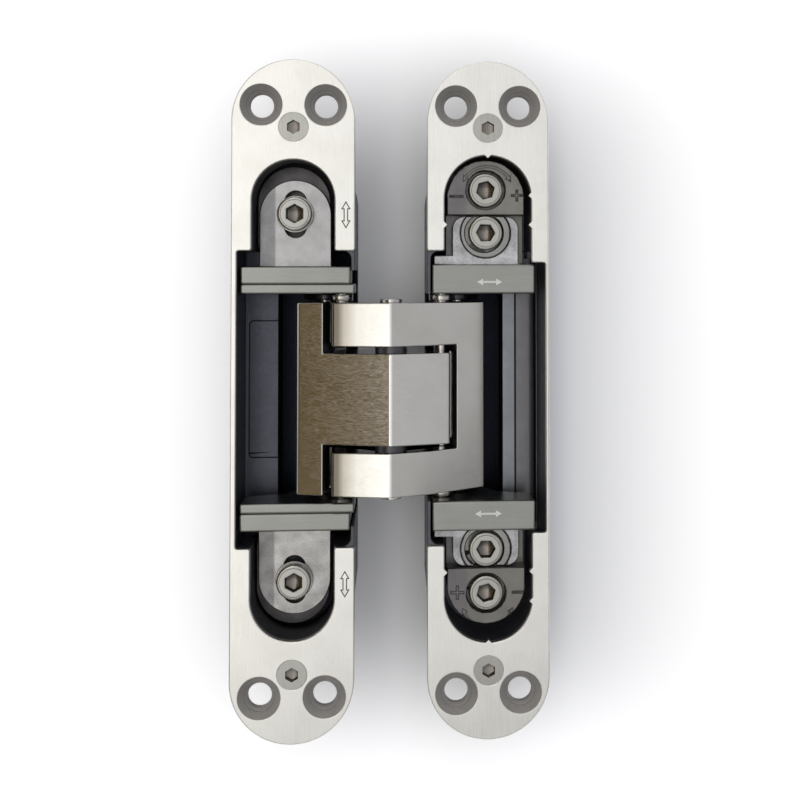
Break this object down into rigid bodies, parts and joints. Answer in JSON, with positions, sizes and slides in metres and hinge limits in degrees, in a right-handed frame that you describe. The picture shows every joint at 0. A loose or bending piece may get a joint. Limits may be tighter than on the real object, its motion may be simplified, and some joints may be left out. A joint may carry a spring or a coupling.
{
  "type": "concealed door hinge",
  "caption": "Concealed door hinge with two mortised halves, crossing folding arms on seven axes and setting screws.",
  "frame": {"origin": "midway between the two halves and along them, on the backs of the housings", "axes": "+Y along the hinge axis, +Z out of the mortises past the cover plates, X from the left half to the right half"},
  "size_m": [0.0774, 0.165, 0.0312],
  "materials": {
    "cover_plate": "satin",
    "housing": "satin",
    "arm": "satin",
    "carrier": "satin",
    "steel": "satin"
  },
  "bodies": {
    "left_half": {"left_plate": "cover_plate", "left_housing": "housing", "left_plate_screws": "steel", "left_clamp_screws": "steel", "left_clamp_washers": "steel"},
    "left_carrier": {"upper_left_carrier": "carrier", "lower_left_carrier": "carrier", "upper_left_bearing": "steel", "lower_left_bearing": "steel", "left_main_pins": "steel", "left_lever_pins": "steel", "left_pivot_collars": "steel"},
    "left_lever": {"left_lever_upper": "steel", "left_lever_lower": "steel"},
    "fork_arm": {"fork_arm": "arm", "centre_pin": "steel", "centre_washers": "steel", "right_tail_pin": "steel"},
    "t_arm": {"t_arm": "arm", "left_tail_pin": "steel"},
    "right_carrier": {"upper_right_carrier": "carrier", "lower_right_carrier": "carrier", "right_main_pin": "steel", "right_pivot_collars": "steel", "right_lever_pins": "steel", "upper_clamp_disc": "carrier", "lower_clamp_disc": "carrier", "right_clamp_screws": "steel", "right_clamp_nuts": "steel"},
    "right_lever": {"right_lever_upper": "steel", "right_lever_lower": "steel"},
    "depth_blocks": {"upper_depth_block": "carrier", "lower_depth_block": "carrier", "depth_screws": "steel"},
    "right_half": {"right_plate": "cover_plate", "right_housing": "housing", "right_plate_screws": "steel"}
  },
  "joints": [
    {"name": "height_slide", "type": "slide", "parent": "left_half", "child": "left_carrier", "axis": [0, 1, 0], "range_m": [-0.0025, 0.0025]},
    {"name": "fold", "type": "hinge", "parent": "left_carrier", "child": "fork_arm", "pos_m": [-0.0125, 0, 0.0185], "axis": [0, -1, 0], "range_deg": [0, 102.35]},
    {"name": "arm_crossing", "type": "hinge", "parent": "fork_arm", "child": "t_arm", "pos_m": [0, 0, 0.0265], "axis": [0, -1, 0], "range_deg": [-24.71, 0]},
    {"name": "right_turn", "type": "hinge", "parent": "t_arm", "child": "right_carrier", "pos_m": [0.0125, 0, 0.0185], "axis": [0, -1, 0], "range_deg": [0, 102.36]},
    {"name": "left_lever_turn", "type": "hinge", "parent": "left_carrier", "child": "left_lever", "pos_m": [-0.01945, 0, 0.0065], "axis": [0, -1, 0], "range_deg": [-40.53, 0]},
    {"name": "right_lever_turn", "type": "hinge", "parent": "right_carrier", "child": "right_lever", "pos_m": [0.01945, 0, 0.0065], "axis": [0, -1, 0], "range_deg": [0, 40.53]},
    {"name": "side_slide", "type": "slide", "parent": "right_carrier", "child": "depth_blocks", "axis": [1, 0, 0], "range_m": [-0.002, 0.0003]},
    {"name": "depth_slide", "type": "slide", "parent": "depth_blocks", "child": "right_half", "axis": [0, 0, 1], "range_m": [-0.001, 0.001]}
  ],
  "couplings": [
    {"joint": "arm_crossing", "follows": "fold", "ratio": -0.2413},
    {"joint": "right_turn", "follows": "fold", "ratio": 1},
    {"joint": "left_lever_turn", "follows": "fold", "ratio": -0.3959},
    {"joint": "right_lever_turn", "follows": "fold", "ratio": 0.3959}
  ]
}
